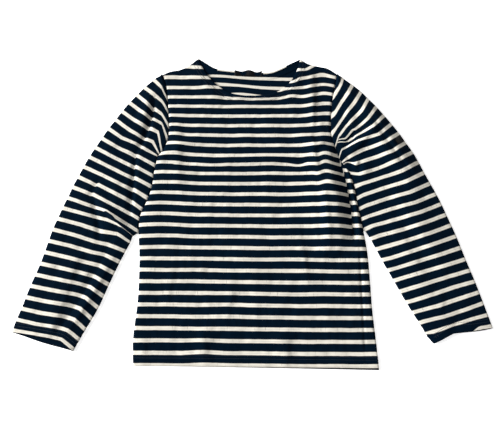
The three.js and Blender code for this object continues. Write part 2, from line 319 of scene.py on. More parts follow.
def body_stripes(x, y, pulls, tucks=()):
    """Height above the lowest stripe, on the cut of the body."""
    shift = slipped(tucks, x, y)
    for place_x, place_y, spread_x, spread_y, amount in pulls:
        reach = ((x / MM - place_x) / spread_x) ** 2 + ((y / MM - place_y) / spread_y) ** 2
        shift += amount * MM * np.exp(-reach)
    shift += rumple(x, y, *STRIPE_WANDER)
    level = y - shift
    taken_up = CHEST_CREASE * (1 - fade(level, *CHEST_CREASE_LEVELS))
    return TOP_STRIPE * STRIPE_PERIOD - (TOP_STRIPE_LEVEL + taken_up - level)


def swell(share):
    """Loft that is nothing at both ends and comes in quickly."""
    return np.sqrt(np.clip(np.sin(np.pi * share), 0, None))


def cloth_grid(columns, rows, place):
    """A piece of cloth as a fine grid with a UV map of its cut, and how far it is turned in."""
    cloth = bmesh.new()
    bmesh.ops.create_grid(cloth, x_segments=columns, y_segments=rows, size=0.5)
    shares = np.array([tuple(vert.co) for vert in cloth.verts]) + 0.5
    points, cut, turned = place(shares[:, 0], shares[:, 1])
    for vert, point in zip(cloth.verts, points):
        vert.co = point
    cloth.verts.index_update()
    cut_map = cloth.loops.layers.uv.new("cut")
    for face in cloth.faces:
        face.smooth = True
        for loop in face.loops:
            loop[cut_map].uv = cut[loop.vert.index]
    return cloth, turned


def finish_cloth(name, cloth, turned, material, thin, thick):
    """Makes the grid an object with the thickness of its cloth, more where it is turned in."""
    data = bpy.data.meshes.new(name)
    cloth.to_mesh(data)
    cloth.free()
    piece = bpy.data.objects.new(name, data)
    bpy.context.scene.collection.objects.link(piece)
    hems = piece.vertex_groups.new(name="turned hem")
    for index in np.flatnonzero(turned > 0.01):
        hems.add([int(index)], float(turned[index]), "REPLACE")
    wall = piece.modifiers.new("cloth", "SOLIDIFY")
    wall.thickness = thick
    wall.offset = -1
    wall.vertex_group = "turned hem"
    wall.thickness_vertex_group = thin / thick
    wall.use_even_offset = False
    data.materials.append(material)
    return piece


def set_or_link(tree, socket, value):
    """Gives a socket a constant or the output of another node."""
    if isinstance(value, bpy.types.NodeSocket):
        tree.links.new(value, socket)
    else:
        socket.default_value = value


def calc(tree, operation, *values):
    """One Math node; its result."""
    node = tree.nodes.new("ShaderNodeMath")
    node.operation = operation
    for socket, value in zip(node.inputs, values):
        set_or_link(tree, socket, value)
    return node.outputs[0]


def blur_noise(tree, vector, scale, detail):
    """One Noise node; its value."""
    node = tree.nodes.new("ShaderNodeTexNoise")
    node.inputs["Scale"].default_value = scale
    node.inputs["Detail"].default_value = detail
    tree.links.new(vector, node.inputs["Vector"])
    return node.outputs["Fac"]


def mix_colour(tree, share, first, second):
    """One colour Mix node; its result."""
    node = tree.nodes.new("ShaderNodeMix")
    node.data_type = "RGBA"
    set_or_link(tree, node.inputs["Factor"], share)
    set_or_link(tree, node.inputs["A"], first)
    set_or_link(tree, node.inputs["B"], second)
    return node.outputs["Result"]


# What the knit looks like. A noise is given by its scale and its strength.
COURSE_PITCH = 1.2 * MM
WALE_PITCH = 1.4 * MM
LOOP_HEIGHT = 0.25
FUZZ = (900, 0.6)
EDGE_WANDER = (60, 1.1 * MM)
EDGE_SOFTNESS = 0.6 * MM
EVEN_TONE = 0.73
STREAKS = ((12, 900, 1), 0.22)
# Soft blotches of painted shade and sheen.
SHADE_AND_SHEEN_BLOTCHES = (40, 0.34)
MIDDLE_LINE_WIDTH = 0.9 * MM
MIDDLE_LINE_TONE = -0.12
# Painted shade of hairline crease lines.
CREASE_SHADE_LINES = ((330, 45, 1), 2.2)
CREASE_SHADE_THRESHOLD = 0.60


def stretched_noise(tree, vector, scales):
    """Noise that is drawn out along one axis of the cut."""
    mapping = tree.nodes.new("ShaderNodeMapping")
    mapping.inputs["Scale"].default_value = scales
    tree.links.new(vector, mapping.inputs["Vector"])
    return blur_noise(tree, mapping.outputs["Vector"], 1, 2)


def striped_knit_group():
    """Ecru stripes knitted into navy jersey, from a place on the cut in metres."""
    group = bpy.data.node_groups.new("striped knit", "ShaderNodeTree")
    sockets = group.interface
    sockets.new_socket("Cut", in_out="INPUT", socket_type="NodeSocketVector")
    sockets.new_socket("Place", in_out="INPUT", socket_type="NodeSocketVector")
    sockets.new_socket("Ecru", in_out="INPUT", socket_type="NodeSocketColor")
    sockets.new_socket("Navy", in_out="INPUT", socket_type="NodeSocketColor")
    sockets.new_socket("Period", in_out="INPUT", socket_type="NodeSocketFloat")
    sockets.new_socket("Width", in_out="INPUT", socket_type="NodeSocketFloat")
    sockets.new_socket("Color", in_out="OUTPUT", socket_type="NodeSocketColor")
    sockets.new_socket("Height", in_out="OUTPUT", socket_type="NodeSocketFloat")
    inputs = group.nodes.new("NodeGroupInput").outputs
    outputs = group.nodes.new("NodeGroupOutput").inputs
    parts = group.nodes.new("ShaderNodeSeparateXYZ")
    group.links.new(inputs["Cut"], parts.inputs[0])
    along, level = parts.outputs["X"], parts.outputs["Y"]

    # Ecru lies beside the middle of each period. The edge of a stripe wanders a little.
    wander = blur_noise(group, inputs["Cut"], EDGE_WANDER[0], 2)
    wander = calc(group, "MULTIPLY_ADD", wander, EDGE_WANDER[1], -EDGE_WANDER[1] / 2)
    wavy_level = calc(group, "ADD", level, wander)
    steps = calc(group, "DIVIDE", wavy_level, inputs["Period"])
    from_centre = calc(group, "ABSOLUTE", calc(group, "SUBTRACT", steps, calc(group, "ROUND", steps)))
    beside_centre = calc(group, "MULTIPLY", from_centre, inputs["Period"])
    past_edge = calc(group, "SUBTRACT", beside_centre, calc(group, "MULTIPLY", inputs["Width"], 0.5))
    is_ecru = group.nodes.new("ShaderNodeMapRange")
    is_ecru.interpolation_type = "SMOOTHSTEP"
    group.links.new(past_edge, is_ecru.inputs["Value"])
    is_ecru.inputs["From Min"].default_value = -EDGE_SOFTNESS
    is_ecru.inputs["From Max"].default_value = EDGE_SOFTNESS
    is_ecru.inputs["To Min"].default_value = 1
    is_ecru.inputs["To Max"].default_value = 0

    # Rows and columns of the knit.
    course = calc(group, "SINE", calc(group, "MULTIPLY", level, 2 * math.pi / COURSE_PITCH))
    wale = calc(group, "SINE", calc(group, "MULTIPLY", along, 2 * math.pi / WALE_PITCH))
    loops = calc(group, "MULTIPLY", calc(group, "ADD", course, wale), LOOP_HEIGHT)
    fuzz = blur_noise(group, inputs["Place"], FUZZ[0], 2)
    height = calc(group, "ADD", loops, calc(group, "MULTIPLY", fuzz, FUZZ[1]))

    # Yarn is spun unevenly, and soft blotches of painted shade and sheen lie over the cloth.
    streaks = stretched_noise(group, inputs["Cut"], STREAKS[0])
    streaks = calc(group, "MULTIPLY", streaks, STREAKS[1])
    shade_and_sheen = blur_noise(group, inputs["Place"], SHADE_AND_SHEEN_BLOTCHES[0], 3)
    shade_and_sheen = calc(group, "MULTIPLY", shade_and_sheen, SHADE_AND_SHEEN_BLOTCHES[1])
    tone = calc(group, "ADD", streaks, shade_and_sheen)

    # The middle row of each ecru stripe is a little darker.
    beside_middle = calc(group, "DIVIDE", beside_centre, MIDDLE_LINE_WIDTH)
    falling = calc(group, "MULTIPLY", calc(group, "POWER", beside_middle, 2), -1)
    middle_line = calc(group, "EXPONENT", falling)
    middle_line = calc(group, "MULTIPLY_ADD", middle_line, MIDDLE_LINE_TONE, EVEN_TONE)
    tone = calc(group, "ADD", tone, middle_line)

    # Painted shade of hairline crease lines runs across the stripes.
    past_level = calc(group, "SUBTRACT", stretched_noise(group, inputs["Cut"], CREASE_SHADE_LINES[0]), CREASE_SHADE_THRESHOLD)
    crease_shade = calc(group, "MULTIPLY", calc(group, "MAXIMUM", past_level, 0), CREASE_SHADE_LINES[1])
    tone = calc(group, "SUBTRACT", tone, crease_shade)

    yarn = mix_colour(group, is_ecru.outputs["Result"], inputs["Navy"], inputs["Ecru"])
    tinted = group.nodes.new("ShaderNodeVectorMath")
    tinted.operation = "SCALE"
    group.links.new(yarn, tinted.inputs[0])
    group.links.new(tone, tinted.inputs["Scale"])
    group.links.new(tinted.outputs[0], outputs["Color"])
    group.links.new(height, outputs["Height"])
    return group


def jersey_material():
    """The striped knit on the cut's UV map, soft and matt."""
    material = bpy.data.materials.new("striped cotton jersey")
    material.use_nodes = True
    tree = material.node_tree
    shader = tree.nodes["Principled BSDF"]
    knit = tree.nodes.new("ShaderNodeGroup")
    knit.node_tree = striped_knit_group()
    cut = tree.nodes.new("ShaderNodeUVMap")
    cut.uv_map = "cut"
    place = tree.nodes.new("ShaderNodeTexCoord")
    tree.links.new(cut.outputs["UV"], knit.inputs["Cut"])
    tree.links.new(place.outputs["Object"], knit.inputs["Place"])
    knit.inputs["Ecru"].default_value = (0.670, 0.634, 0.556, 1)
    knit.inputs["Navy"].default_value = (0.0004, 0.0047, 0.0118, 1)
    knit.inputs["Period"].default_value = STRIPE_PERIOD
    knit.inputs["Width"].default_value = STRIPE_WIDTH
    bump = tree.nodes.new("ShaderNodeBump")
    bump.inputs["Strength"].default_value = 0.5
    bump.inputs["Distance"].default_value = 0.0004
    tree.links.new(knit.outputs["Height"], bump.inputs["Height"])
    tree.links.new(bump.outputs["Normal"], shader.inputs["Normal"])
    tree.links.new(knit.outputs["Color"], shader.inputs["Base Color"])
    shader.inputs["Roughness"].default_value = 0.92
    shader.inputs["Specular IOR Level"].default_value = 0.01
    shader.inputs["Sheen Weight"].default_value = 0.006
    shader.inputs["Sheen Roughness"].default_value = 0.6
    return material


jersey = jersey_material()
hem = smooth_line(HEM)
side_right = smooth_line(SIDE_RIGHT)
side_left = smooth_line(SIDE_LEFT)
armhole_right = smooth_line(ARMHOLE_RIGHT)
armhole_left = smooth_line(ARMHOLE_LEFT)
shoulder_right = smooth_line(SHOULDER_RIGHT)
shoulder_left = smooth_line(SHOULDER_LEFT)


def body_panel(neck):
    """The flat surface of a panel of the body under its neck line."""
    return spanned(
        hem,
        joined((shoulder_right, SHOULDER_COLUMNS), (neck, NECK_COLUMNS), (shoulder_left, SHOULDER_COLUMNS)),
        joined((side_right, SIDE_PART), (armhole_right, 1 - SIDE_PART)),
        joined((side_left, SIDE_PART), (armhole_left, 1 - SIDE_PART)),
    )


neck_back = smooth_line(NECK_BACK)
back_flat = body_panel(neck_back)


def back_place(u, v):
    """Places of the back's grid, its cut, and where it is turned in."""
    v = np.interp(v, *BACK_ROWS)
    flat = back_flat(u, v)
    flat[:, 1] -= BACK_HEM_SHOWS * u * (1 - v) ** 12
    x, y = flat[:, 0], flat[:, 1]
    from_neck = distance_to(neck_back, flat)
    at_seams = 1 - fade(np.minimum(u, 1 - u), 0, SEAM_LIFT_PART)
    height = np.clip(relief(BACK_FOLDS, x, y), 0, None) * BACK_CREASE_DEPTH * swell(u) * swell(v)
    height += SEAM_LIFT * at_seams + NECK_LIFT * np.exp(-(from_neck / NECK_LIFT_WIDTH) ** 2)
    turned = np.maximum(band(from_neck, NECK_BAND), 1 - fade(v, *BACK_HEM_BAND))
    level = body_stripes(x, y, BACK_PULLS)
    last_navy = (TOP_STRIPE - 0.5) * STRIPE_PERIOD
    level = np.where(from_neck < PLAIN_RIM, np.minimum(level, last_navy), level)
    for start, end in ECRU_RIM:
        on_rim = (from_neck < RIM_STRIPE) & (x > start * MM) & (x < end * MM)
        level = np.where(on_rim, TOP_STRIPE * STRIPE_PERIOD, level)
    return np.column_stack([x, y, height]), np.column_stack([x, level]), turned


cloth, turned = cloth_grid(*BACK_GRID, back_place)
bmesh.ops.reverse_faces(cloth, faces=cloth.faces)
surfaces = {"back": BVHTree.FromBMesh(cloth)}
back = finish_cloth("back_cloth", cloth, turned, jersey, CLOTH, TURNED)
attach(back, "root")
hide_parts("back")


# Front panel
# The same jersey as the back and sewn to it, with a wide boat neck that is turned in and sewn with a
# twin needle. It lies over the back with air between them, soft ridges at the sides and armholes and
# one cross crease at the chest where the shirt was folded.
FRONT_GRID = (180, 230)
FRONT_REST = 2.8 * MM
FRONT_LOFT = 3.2 * MM
HEM_LOFT_PART = 0.35
SIDE_SWELL = 16 * MM
SIDE_ROLL = 3.5 * MM
SIDE_EDGE = 1.3 * MM
SEAM_DITCH = 1.1 * MM
SEAM_DITCH_WIDTH = 2.2 * MM
BAND_RISE = 0.7 * MM
BAND_AT_SEAMS = (2 * MM, 6 * MM)
NEEDLE_ROWS = (9 * MM, 15 * MM)
NEEDLE_DITCH = 0.6 * MM
NEEDLE_DITCH_WIDTH = 1.1 * MM

# Columns and rows of the grid lie closer at the folds and the turned edges.
FRONT_COLUMNS = ([0, 0.06, 0.71, 0.94, 1], [0, 0.02, 0.80, 0.98, 1])
FRONT_ROWS = ([0, 0.1, 0.86, 1], [0, 0.036, 0.955, 1])

# Small unevenness of the cloth. Columns: size, depth, seed.
FRONT_RUMPLES = [
    (34 * MM, 1.6 * MM, 1.3),
    (12 * MM, 0.8 * MM, 5.1),
]

# Neck line, folds and pulls, with the columns of the tables of the back.
NECK_FRONT = [
    (-123, 338), (-113, 315), (-97, 290), (-80, 272), (-46, 250.5),
    (14, 245.5), (58, 255.5), (86, 279), (103, 311), (110, 336),
]
FRONT_FOLDS = [
    (182, 126, 212, -88, 7, -9.0, 5, 12),
    (150, 136, 178, -116, 4, 12.5, 20, 38),
    (221, -70, 220, -325, 0, -1.8, 2.6, 2.6),
    (196, 92, 226, -90, 6, 3.0, 8, 8),
    (120, 40, 128, -60, 3, 1.8, 10, 14),
    (60, 92, 150, 84, 2, -4.0, 5, 8),
    (-190, 96, -120, 84, 1, -3.0, 5, 8),
    (136, 318, 131, 156, 0, 3.8, 8, 13),
    (128, 158, 146, 40, -3, 2.6, 6, 12),
    (168, 150, 120, 110, 4, 2.6, 6, 9),
    (172, 96, 108, 66, -4, 2.6, 6, 9),
    (150, 30, 156, -110, 3, 2.2, 6, 12),
    (96, -60, 112, -190, 3, 1.4, 5, 9),
    (-160, -120, -176, -230, 3, 1.4, 6, 10),
    (-40, -150, -52, -260, 2, 1.4, 6, 10),
    (-164, 176, -158, 6, 0, 3.0, 13, 13),
    (-120, 94, 150, 92, 3, 3.0, 12, 12),
    (186, 102, 96, 156, 4, 3.5, 12, 12),
    (-198, 110, -110, 146, -4, 3.0, 13, 13),
    (-215, -336, -219, -256, 0, 1.6, 13, 11),
    (-93, -336, -98, -256, 0, 3.0, 13, 13),
    (64, -339, 58, -264, 0, 2.5, 16, 16),
    (-150, 306, -66, 216, 8, 2.5, 12, 12),
    (120, 312, 84, 220, -8, 2.5, 12, 12),
    (-60, -54, 40, -244, 10, 2.0, 24, 24),
]
FRONT_PULLS = [
    (-190, 15, 70, 120, 4.5),
    (-180, 140, 30, 45, 4),
    (167, 206, 40, 60, 6),
    (-85, 84, 30, 14, -2.5),
    (102, 84, 30, 14, -2.5),
    (0, 84, 200, 14, -2),
    (-233, -200, 200, 130, 1.3),
    (246, -200, 200, 130, -2.9),
    (-100, -300, 30, 30, 2),
    (5, 240, 70, 12, -6.5),
    (60, 256, 14, 10, -6),
    (-165, 322, 70, 34, 8),
    (158, 328, 26, 32, 17),
    (118, 316, 12, 12, -4),
    (88, 283, 16, 20, -10),
    (158, 262, 26, 34, 7),
    (88, 240, 20, 14, 4),
    (155, 78, 11, 55, 3.5),
    (139, 70, 9, 42, -2.5),
    (96, 84, 12, 10, -2),
    (117, 86, 7, 8, 2),
]

# Tucks across which the stripes slip. Columns: start x, start y, end x, end y, bow, softness of the
# step, then the slip towards the neck and its reach, first left and then right of the line.
FRONT_TUCKS = [
    (177, 124, 206, -90, 7, 2.0, 13, 50, -3, 26),
    (-175, 87, -80, 87, 0, 3.0, 0, 20, -2.5, 12),
]

# Folds whose lip hangs over the hollow beside it. Columns as in the table of folds, but in place of
# the height is how far the lip is pushed towards +X.
FRONT_LIPS = [(177, 130, 204, -96, 6, 7.0, 5, 26)]

neck_front = smooth_line(NECK_FRONT)
front_flat = body_panel(neck_front)


def sewn_band(distance, width):
    """Extra height of a turned edge, with the two ditches that its needle rows press into it."""
    height = BAND_RISE * band(distance, width)
    for row in NEEDLE_ROWS:
        height -= NEEDLE_DITCH * np.exp(-((distance - row) / NEEDLE_DITCH_WIDTH) ** 2)
    return height


def front_place(u, v):
    """Places of the front's grid, its cut, and where it is turned in."""
    u, v = np.interp(u, *FRONT_COLUMNS), np.interp(v, *FRONT_ROWS)
    flat = front_flat(u, v)
    x, y = flat[:, 0], flat[:, 1]
    from_neck = distance_to(neck_front, flat)
    from_sides = np.minimum(distance_to(side_right, flat), distance_to(side_left, flat))
    from_seams = np.minimum(distance_to(armhole_right, flat), distance_to(armhole_left, flat))
    from_hem = distance_to(hem, flat)
    from_shoulder = np.minimum(distance_to(shoulder_right, flat), distance_to(shoulder_left, flat))
    from_edge = np.minimum(np.minimum(from_sides, from_seams), np.minimum(from_hem, from_neck))
    inside = np.sqrt(1 - (1 - np.clip(from_edge / SIDE_SWELL, 0, 1)) ** 2)
    along_body = HEM_LOFT_PART + (1 - HEM_LOFT_PART) * swell(v)
    loft = np.minimum(inside, along_body) * FRONT_LOFT

    # Folds run out through the hem and lie down towards the other edges.
    loft += np.where(from_hem <= from_edge, 1, inside) * relief(FRONT_FOLDS, x, y)
    loft += sum(rumple(x, y, *row) for row in FRONT_RUMPLES) * inside
    height = FRONT_REST + np.clip(loft, 0, None)
    height += sewn_band(from_neck, NECK_BAND) + sewn_band(from_hem, HEM_BAND)
    height -= SEAM_DITCH * np.exp(-(from_seams / SEAM_DITCH_WIDTH) ** 2)
    rolled = 1 - np.clip(np.minimum(from_sides, from_shoulder) / SIDE_ROLL, 0, 1)
    height -= (height - SIDE_EDGE) * (1 - np.sqrt(1 - rolled**2))
    turned = np.maximum(band(from_neck, NECK_BAND), band(from_hem, HEM_BAND))
    turned *= fade(from_sides, *BAND_AT_SEAMS) * fade(from_shoulder, *BAND_AT_SEAMS)
    cut = np.column_stack([x, body_stripes(x, y, FRONT_PULLS, FRONT_TUCKS)])
    return np.column_stack([x + relief(FRONT_LIPS, x, y), y, height]), cut, turned


cloth, turned = cloth_grid(*FRONT_GRID, front_place)
surfaces["front"] = BVHTree.FromBMesh(cloth)
front = finish_cloth("front_cloth", cloth, turned, jersey, CLOTH, TURNED)
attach(front, "root")
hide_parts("front")


# Sleeves
# Each is one piece of jersey, sewn into a tube with its seam inside the arm and set into the armhole.
# They lie flattened out from the body. Their sections follow the stripes, which run round the arm.
SLEEVE_GRID = (130, 240)
SLEEVE_ROUND = 0.30
SLEEVE_ROWS = ([0, 0.1, 1], [0, 0.035, 1])
SLEEVE_EDGE = 3.4 * MM
SLEEVE_LOFT = 3.6 * MM
SLEEVE_SEAM = -0.4 * MM
SEAM_REACH = 5 * MM
SEAM_PART = (0.75, 1)
FLAT_SEAM = 2.9 * MM
ARMHOLE_BULGE = 0.4 * MM
STRAIGHT_PART = 0.75
SLEEVE_RUMPLES = [
    (30 * MM, 1.6 * MM, 2.2),
    (12 * MM, 0.8 * MM, 6.4),
]

# The grid runs round the tube: over the top to the outer fold, and back under it to the inner edge.
TOP_END = 0.52
FOLD_MIDDLE = 0.56
FOLD_END = 0.60
INNER_EDGE = 0.96

# At the cuff: the turned band, how far the layer below comes out from under the top one, how the last
# stripes run out at the inner edge, and how the inside is navy at its edge. Counted in stripes along
# the sleeve, and in shares of the way round or across it.
CUFF_BAND = (0.62, 0.70)
PEEK_STRIPES = (-0.2, 1.2)
PEEK_SPREAD = 0.3
PEEK_COURSE = (-0.4 * MM, -1.0 * MM)
BIAS_AROUND = (0.33, 0.43)
BIAS_STRIPES = (-0.2, 1)
INSIDE_SHIFT = 0.62
INSIDE_AROUND = (0.56, 0.62)
INSIDE_STRIPES = (1, 3)

# Where the five places of a section lie across the sleeve, from the outer fold to the inner edge.
ACROSS_RIGHT = (0, 0.3, 0.6, 0.78, 1)
ACROSS_LEFT = (0, 0.3, 0.6, 0.88, 1)

# Sections along the stripes, in millimetres. Columns: stripe counted from the cuff, then x and y at
# the outer fold, at three places across, and at the inner fold or the armhole.
SECTIONS_RIGHT = [
    (-0.2, -477, -267, -438, -272, -398, -279, -377, -284, -352, -303),
    (1, -470, -242, -429, -251, -388, -257, -365, -263, -341, -281),
    (2, -463, -221, -419, -230, -377, -236, -353, -243, -331, -262),
    (4, -450, -176, -404, -185, -357, -193, -334, -200, -309, -220),
    (6, -435, -131, -388, -141, -345, -151, -320, -158, -291, -174),
    (8, -423, -84, -376, -95, -330, -108, -305, -113, -272, -128),
    (9, -417, -60, -370, -72, -323, -87, -300, -92, -262, -106),
    (10, -409, -37, -360, -50, -313, -65, -280, -70, -253, -87),
    (11, -401, -14, -351, -28, -304, -40, -281, -50, -249, -75),
    (11.8, -394, 4, -345.5, -13, -305, -25.5, -280.5, -42.5, -242, -69),
    (12, -392, 8, -344, -9, -305, -22, -279, -39, -241, -65),
    (13, -384, 32, -336, 14, -294, -8, -270, -20, -239, -38),
    (14, -374, 55, -329, 36, -285, 14, -261, 2, -230, -18),
    (16, -354, 100, -311, 78, -271, 58, -247, 48, -218, 32),
    (18, -330, 143, -292, 120, -258, 104, -236, 93, -213, 79),
    (19, -317, 166, -285, 143, -253, 129, -229, 115, -207, 102),
    (20, -303, 187, -269, 161, -236, 141, -217, 133, -203, 106),
    (21, -290, 207, -258, 183, -229, 166, -207, 156, -196, 112),
    (22, -275, 228, -249, 207, -222, 188, -199, 176, -185, 140),
    (23, -259, 247, -237, 227, -220, 211, -201, 199, -184, 169),
    (24, -243, 265, -226, 251, -211, 238, -199, 226, -186, 204),
    (25, -223, 284, -212, 273, -203, 263, -197, 250, -192, 235),
    (25.25, -219, 288, -210, 279, -203, 270, -198, 258, -193, 243),
    (25.8, -207, 294, -207, 295, -206, 296, -205, 296, -204, 297),
]
SECTIONS_LEFT = [
    (-0.2, 477, -259, 438, -264, 398, -269, 356, -289, 346, -277),
    (1, 470, -233, 430, -243, 391, -255, 356, -266, 342, -269),
    (2, 464, -210, 422, -224, 383, -236, 344, -245, 331, -249),
    (4, 452, -167, 407, -179, 363, -193, 324, -205, 309, -209),
    (6, 438, -122, 391, -136, 345, -149, 303, -161, 287, -166),
    (8, 424, -74, 375, -91, 328, -106, 284, -120, 266, -124),
    (10, 408, -28, 358, -47, 309, -62, 262, -74, 245, -80),
    (11, 400, -5, 350, -25, 298, -40, 251, -53, 235, -61),
    (12, 391, 17, 341, -4, 292, -17, 246, -32, 230, -39),
    (14, 370, 64, 326, 42, 280, 29, 237, 14, 223, 6),
    (15, 360, 88, 319, 65, 273, 51, 234, 38, 219, 32),
    (16, 349, 111, 310, 88, 268, 72, 229, 60, 210, 64),
    (17, 336, 133, 299, 108, 254, 94, 218, 82, 201, 78),
    (18, 323, 155, 285, 129, 240, 115, 207, 97, 194, 87),
    (19, 308, 177, 273, 147, 231, 136, 194, 116, 187, 96),
    (20, 293, 197, 263, 167, 226, 147, 198, 126, 184, 104),
    (21, 277, 218, 253, 185, 222, 159, 197, 132, 182, 111),
    (22, 260, 238, 241, 205, 214, 178, 190, 147, 180, 119),
    (23, 245, 255, 229, 229, 207, 200, 184, 165, 174, 152),
    (24, 226, 272, 215, 251, 199, 228, 183, 202, 175, 195),
    (25, 205, 289, 200, 273, 193, 259, 184, 246, 181, 241),
    (25.25, 202, 292, 198, 280, 193, 270, 187, 261, 185, 256),
    (25.8, 196, 295, 195, 296, 194, 297, 194, 297, 193, 298),
]

# Tucks and folds are written as those of the front.
SLEEVE_RIGHT_TUCKS = [
    (-251, 116, -257, -60, 0, 1.5, 2.4, 24, -1.2, 16),
    (-217, 244, -240, 120, 6, 2.0, 3, 18, -1.5, 10),
    (-326, 50, -346, 2, 0, 2.5, 1, 20, -4, 22),
]
SLEEVE_LEFT_TUCKS = [
    (230, 158, 196, 120, 0, 1.5, 0, 10, 8, 14),
]

# Stripes that go under the lip of a fold. Columns: x, y and reach in millimetres, and between which
# stripes the cloth goes under. It goes under whole in the core, and less towards the reach.
GATHER_CORE = 0.25
SLEEVE_RIGHT_GATHERS = [
    (-256, -71, 30, 10.45, 11.09),
    (-298, -29, 15, 11.45, 11.97),
]
SLEEVE_LEFT_GATHERS = [
    (190, 118, 30, 19.3, 21.9),
    (206, 76, 18, 16.4, 17.9),
]

SLEEVE_RIGHT_FOLDS = [
    (-330, 2, -246, -80, 0, 7.0, 14, 4),
    (-273, -70, -378, -286, 10, 2.4, 9, 12),
    (-356, -100, -408, -282, 6, 3.2, 9, 28),
    (-262, -66, -378, -284, 8, 2.0, 6, 5),
    (-286, -70, -395, -280, 8, -2.2, 5, 9),
    (-228, 262, -262, 130, 6, 3.5, 16, 16),
    (-217, 246, -252, 102, 8, -5.0, 5, 8),
    (-251, 116, -257, -60, 0, -4.5, 5, 8),
    (-342, 24, -312, -96, 2, -3.0, 6, 9),
    (-325, 56, -346, 4, 0, -1.8, 5, 7),
    (-372, 30, -352, -60, 0, 2.0, 14, 14),
    (-290, 60, -286, -20, 0, 2.2, 14, 14),
    (-396, -14, -450, -224, 0, 3.0, 22, 22),
]
SLEEVE_LEFT_FOLDS = [
    (196, 98, 274, 174, -4, 5.0, 10, 8),
    (236, 226, 356, 10, -10, 6.0, 46, 13),
    (252, 236, 374, 22, -8, 9.0, 22, 30),
    (192, 284, 300, 176, -6, 5.0, 16, 12),
    (256, 216, 352, 44, -8, -3.0, 5, 6),
    (300, 40, 400, -150, -6, 6.0, 44, 14),
    (222, 26, 256, 102, 0, 3.0, 12, 12),
    (228, 160, 198, 112, 0, -5.5, 6, 7),
    (204, 104, 216, 62, 0, -5.0, 5, 8),
    (193, 96, 213, 84, 0, 5.0, 4, 4),
    (196, 82, 224, 96, 0, -5.5, 4, 4),
    (216, 92, 240, 74, 0, 5.0, 4, 5),
    (206, 70, 236, 66, 0, -4.5, 4, 4),
    (226, 84, 236, 72, 0, -6.0, 6, 6),
    (300, -34, 372, -252, -6, 3.0, 20, 24),
    (214, 242, 232, 136, -6, 3.5, 12, 12),
]


def eased(at, knots, values):
    """Values between knots, smooth and without overshoot."""
    knots, values = np.array(knots, float), np.array(values, float)
    slopes = np.diff(values) / np.diff(knots)
    tangents = np.concatenate([[slopes[0]], np.zeros(len(slopes) - 1), [slopes[-1]]])
    same = slopes[:-1] * slopes[1:] > 0
    with np.errstate(divide="ignore", invalid="ignore"):
        mean = 2 * slopes[:-1] * slopes[1:] / (slopes[:-1] + slopes[1:])
    tangents[1:-1] = np.where(same, mean, 0)
    place = np.clip(np.searchsorted(knots, at, side="right") - 1, 0, len(knots) - 2)
    span = knots[place + 1] - knots[place]
    t = np.clip((at - knots[place]) / span, 0, 1)
    leave, arrive = span * tangents[place], span * tangents[place + 1]
    return curve_between(values[place], values[place + 1], leave, arrive, t)


def section_points(sections, across, u, stripe):
    """Flat points of a sleeve from the share across it and the stripe."""
    table = np.array(sections, float)
    levels = np.unique(stripe)
    result = np.zeros((len(u), 2))
    for axis in (0, 1):
        places = table[:, 1 + axis::2].T
        sections_there = np.array([eased(levels, table[:, 0], place) for place in places]).T
        for level, section in zip(levels, sections_there):
            here = stripe == level
            bent = np.interp(u[here], across, section)
            curved = eased(u[here], across, section)
            result[here, axis] = STRAIGHT_PART * bent + (1 - STRAIGHT_PART) * curved
    return result * MM


def gathered(gathers, x, y, stripe):
    """The stripe at each point, where some of them go under a lip."""
    for place_x, place_y, reach, low, high in gathers:
        distance = np.hypot(x / MM - place_x, y / MM - place_y)
        near = 1 - fade(distance, GATHER_CORE * reach, reach)
        under = (stripe > low) & (stripe < high)
        stripe = np.where(under, low + (stripe - low) * (1 - near), stripe)
    return stripe


